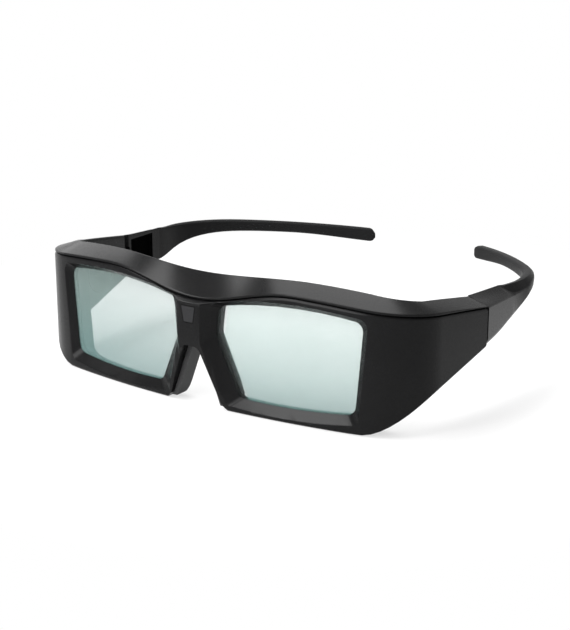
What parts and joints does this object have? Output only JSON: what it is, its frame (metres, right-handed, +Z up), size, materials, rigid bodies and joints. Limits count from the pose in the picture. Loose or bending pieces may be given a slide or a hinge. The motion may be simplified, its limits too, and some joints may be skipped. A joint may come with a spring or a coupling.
{
  "type": "active-shutter 3d glasses",
  "caption": "Wrap-around active-shutter 3D glasses with framed lenses, an infrared window in the bridge, a nose pad and folding temples that curl behind the head.",
  "frame": {"origin": "middle of the width and of the depth, on the plane that the lower rim stands on", "axes": "+X towards the wearer's left, +Y back along the temples, +Z up"},
  "size_m": [0.1776, 0.1718, 0.0505],
  "materials": {
    "shell": "satin black moulded plastic",
    "fittings": "matt black moulded plastic",
    "button": "matt dark grey plastic",
    "nose_pad": "soft matt black rubber",
    "window": "infrared-passing black plastic",
    "receiver": "black epoxy body",
    "lead": "amber film with copper tracks",
    "film": "clear grey-green polarising film",
    "glass": "clear thin glass",
    "foam": "black foam strip",
    "board": "green solder mask",
    "steel": "bright steel",
    "contact": "spring bronze"
  },
  "bodies": {
    "frame": {"front_shell": "shell", "rear_shell": "shell", "nose_pad": "nose_pad", "ir_window": "window", "ir_receiver": "receiver", "flat_lead": "lead", "left_front_polariser": "film", "left_shutter_cell": "glass", "left_rear_polariser": "film", "left_lens_gasket": "foam", "right_front_polariser": "film", "right_shutter_cell": "glass", "right_rear_polariser": "film", "right_lens_gasket": "foam", "main_board": "board", "controller_chip": "receiver", "power_switch": "steel", "cell_holder": "fittings", "coin_cell": "steel", "minus_contact": "contact", "plus_contact": "contact", "battery_cover": "fittings", "cover_screw": "steel", "left_hinge_block": "fittings", "right_hinge_block": "fittings", "left_hinge_pin": "steel", "right_hinge_pin": "steel"},
    "left_temple": {"left_temple": "shell"},
    "right_temple": {"right_temple": "shell"},
    "power_button": {"power_button": "button"}
  },
  "joints": [
    {"name": "left_fold", "type": "hinge", "parent": "frame", "child": "left_temple", "pos_m": [0.08005, -0.02604, 0.0302], "axis": [0, 0, 1], "range_deg": [0, 80]},
    {"name": "right_fold", "type": "hinge", "parent": "frame", "child": "right_temple", "pos_m": [-0.08005, -0.02604, 0.0302], "axis": [0, 0, -1], "range_deg": [0, 52]},
    {"name": "power_button_press", "type": "slide", "parent": "frame", "child": "power_button", "axis": [0.994, -0.1097, 0], "range_m": [0, 0.00035], "stiffness_N_per_m": 3000}
  ]
}
